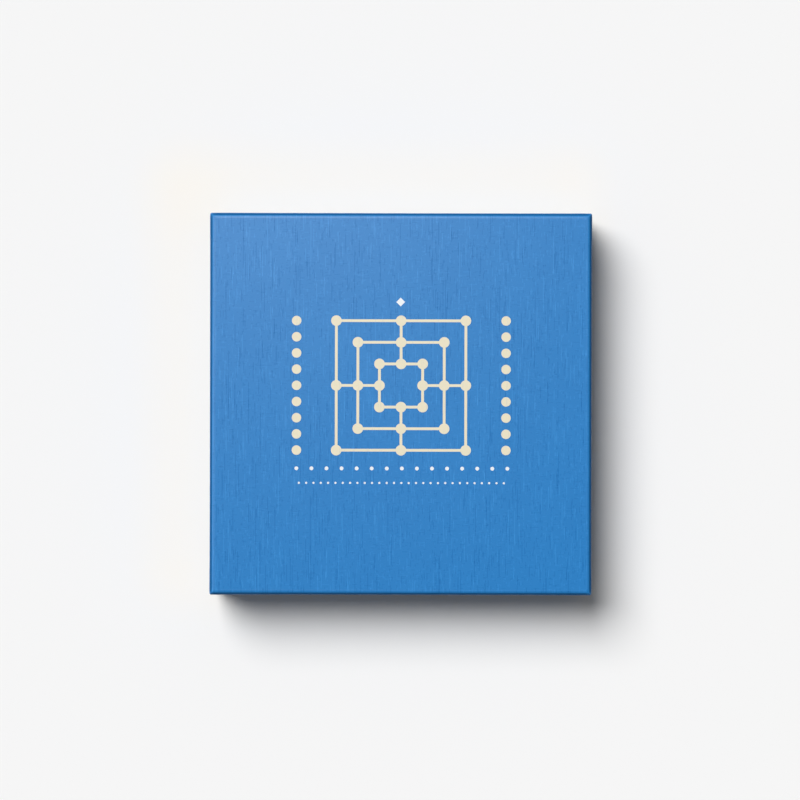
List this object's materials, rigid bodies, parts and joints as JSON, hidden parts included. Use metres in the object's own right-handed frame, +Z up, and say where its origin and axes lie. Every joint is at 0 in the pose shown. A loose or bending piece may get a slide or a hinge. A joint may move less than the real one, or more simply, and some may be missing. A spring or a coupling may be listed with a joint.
{
  "type": "nine men's morris box",
  "caption": "Square lift-off-lid card box for nine men's morris, with a grooved wooden board and turned wooden men bedded in a die-cut deck.",
  "frame": {"origin": "middle of the box's underside, on the table", "axes": "+Z up, the way the lid and the contents lift out; -Y is the front, where the title's foot is; +X is to the right as the title is read"},
  "size_m": [0.21, 0.21, 0.038],
  "materials": {
    "cover_paper": "satin",
    "greyboard": "matte",
    "stay_tape": "matte",
    "lining_paper": "matte",
    "partition_card": "matte",
    "deck_card": "matte",
    "facing_paper": "matte",
    "leaflet_paper": "matte",
    "board_wood": "satin",
    "blue_wood": "satin",
    "pale_wood": "satin"
  },
  "bodies": {
    "box_tray": {"base_board": "greyboard", "base_corner_stays": "stay_tape", "base_wrap": "cover_paper", "partition_front": "partition_card", "partition_back": "partition_card", "partition_left": "partition_card", "partition_right": "partition_card", "shelf_board": "greyboard", "well_deck": "deck_card", "deck_facing": "facing_paper"},
    "box_lid": {"lid_board": "greyboard", "lid_corner_stays": "stay_tape", "lid_wrap": "cover_paper", "lid_lining": "lining_paper"},
    "morris_board": {"morris_board": "board_wood"},
    "rules_leaflet": {"rules_leaflet": "leaflet_paper"},
    "man_blue_1": {"man_blue_1": "blue_wood"},
    "man_blue_2": {"man_blue_2": "blue_wood"},
    "man_blue_3": {"man_blue_3": "blue_wood"},
    "man_blue_4": {"man_blue_4": "blue_wood"},
    "man_blue_5": {"man_blue_5": "blue_wood"},
    "man_blue_6": {"man_blue_6": "blue_wood"},
    "man_blue_7": {"man_blue_7": "blue_wood"},
    "man_blue_8": {"man_blue_8": "blue_wood"},
    "man_blue_9": {"man_blue_9": "blue_wood"},
    "man_cream_1": {"man_cream_1": "pale_wood"},
    "man_cream_2": {"man_cream_2": "pale_wood"},
    "man_cream_3": {"man_cream_3": "pale_wood"},
    "man_cream_4": {"man_cream_4": "pale_wood"},
    "man_cream_5": {"man_cream_5": "pale_wood"},
    "man_cream_6": {"man_cream_6": "pale_wood"},
    "man_cream_7": {"man_cream_7": "pale_wood"},
    "man_cream_8": {"man_cream_8": "pale_wood"},
    "man_cream_9": {"man_cream_9": "pale_wood"}
  },
  "joints": [
    {"name": "lid_lift", "type": "slide", "parent": "box_tray", "child": "box_lid", "axis": [0, 0, 1], "range_m": [0, 0.12]},
    {"name": "morris_board_lift", "type": "slide", "parent": "box_tray", "child": "morris_board", "axis": [0, 0, 1], "range_m": [0, 0.06]},
    {"name": "rules_leaflet_lift", "type": "slide", "parent": "box_tray", "child": "rules_leaflet", "axis": [0, 0, 1], "range_m": [0, 0.042]},
    {"name": "man_blue_1_lift", "type": "slide", "parent": "box_tray", "child": "man_blue_1", "axis": [0, 0, 1], "range_m": [0, 0.018]},
    {"name": "man_blue_2_lift", "type": "slide", "parent": "box_tray", "child": "man_blue_2", "axis": [0, 0, 1], "range_m": [0, 0.018]},
    {"name": "man_blue_3_lift", "type": "slide", "parent": "box_tray", "child": "man_blue_3", "axis": [0, 0, 1], "range_m": [0, 0.018]},
    {"name": "man_blue_4_lift", "type": "slide", "parent": "box_tray", "child": "man_blue_4", "axis": [0, 0, 1], "range_m": [0, 0.018]},
    {"name": "man_blue_5_lift", "type": "slide", "parent": "box_tray", "child": "man_blue_5", "axis": [0, 0, 1], "range_m": [0, 0.018]},
    {"name": "man_blue_6_lift", "type": "slide", "parent": "box_tray", "child": "man_blue_6", "axis": [0, 0, 1], "range_m": [0, 0.018]},
    {"name": "man_blue_7_lift", "type": "slide", "parent": "box_tray", "child": "man_blue_7", "axis": [0, 0, 1], "range_m": [0, 0.018]},
    {"name": "man_blue_8_lift", "type": "slide", "parent": "box_tray", "child": "man_blue_8", "axis": [0, 0, 1], "range_m": [0, 0.018]},
    {"name": "man_blue_9_lift", "type": "slide", "parent": "box_tray", "child": "man_blue_9", "axis": [0, 0, 1], "range_m": [0, 0.018]},
    {"name": "man_cream_1_lift", "type": "slide", "parent": "box_tray", "child": "man_cream_1", "axis": [0, 0, 1], "range_m": [0, 0.018]},
    {"name": "man_cream_2_lift", "type": "slide", "parent": "box_tray", "child": "man_cream_2", "axis": [0, 0, 1], "range_m": [0, 0.018]},
    {"name": "man_cream_3_lift", "type": "slide", "parent": "box_tray", "child": "man_cream_3", "axis": [0, 0, 1], "range_m": [0, 0.018]},
    {"name": "man_cream_4_lift", "type": "slide", "parent": "box_tray", "child": "man_cream_4", "axis": [0, 0, 1], "range_m": [0, 0.018]},
    {"name": "man_cream_5_lift", "type": "slide", "parent": "box_tray", "child": "man_cream_5", "axis": [0, 0, 1], "range_m": [0, 0.018]},
    {"name": "man_cream_6_lift", "type": "slide", "parent": "box_tray", "child": "man_cream_6", "axis": [0, 0, 1], "range_m": [0, 0.018]},
    {"name": "man_cream_7_lift", "type": "slide", "parent": "box_tray", "child": "man_cream_7", "axis": [0, 0, 1], "range_m": [0, 0.018]},
    {"name": "man_cream_8_lift", "type": "slide", "parent": "box_tray", "child": "man_cream_8", "axis": [0, 0, 1], "range_m": [0, 0.018]},
    {"name": "man_cream_9_lift", "type": "slide", "parent": "box_tray", "child": "man_cream_9", "axis": [0, 0, 1], "range_m": [0, 0.018]}
  ],
  "couplings": [
    {"joint": "morris_board_lift", "follows": "lid_lift", "ratio": 0.5},
    {"joint": "rules_leaflet_lift", "follows": "lid_lift", "ratio": 0.35},
    {"joint": "man_blue_1_lift", "follows": "lid_lift", "ratio": 0.15},
    {"joint": "man_blue_2_lift", "follows": "lid_lift", "ratio": 0.15},
    {"joint": "man_blue_3_lift", "follows": "lid_lift", "ratio": 0.15},
    {"joint": "man_blue_4_lift", "follows": "lid_lift", "ratio": 0.15},
    {"joint": "man_blue_5_lift", "follows": "lid_lift", "ratio": 0.15},
    {"joint": "man_blue_6_lift", "follows": "lid_lift", "ratio": 0.15},
    {"joint": "man_blue_7_lift", "follows": "lid_lift", "ratio": 0.15},
    {"joint": "man_blue_8_lift", "follows": "lid_lift", "ratio": 0.15},
    {"joint": "man_blue_9_lift", "follows": "lid_lift", "ratio": 0.15},
    {"joint": "man_cream_1_lift", "follows": "lid_lift", "ratio": 0.15},
    {"joint": "man_cream_2_lift", "follows": "lid_lift", "ratio": 0.15},
    {"joint": "man_cream_3_lift", "follows": "lid_lift", "ratio": 0.15},
    {"joint": "man_cream_4_lift", "follows": "lid_lift", "ratio": 0.15},
    {"joint": "man_cream_5_lift", "follows": "lid_lift", "ratio": 0.15},
    {"joint": "man_cream_6_lift", "follows": "lid_lift", "ratio": 0.15},
    {"joint": "man_cream_7_lift", "follows": "lid_lift", "ratio": 0.15},
    {"joint": "man_cream_8_lift", "follows": "lid_lift", "ratio": 0.15},
    {"joint": "man_cream_9_lift", "follows": "lid_lift", "ratio": 0.15}
  ]
}
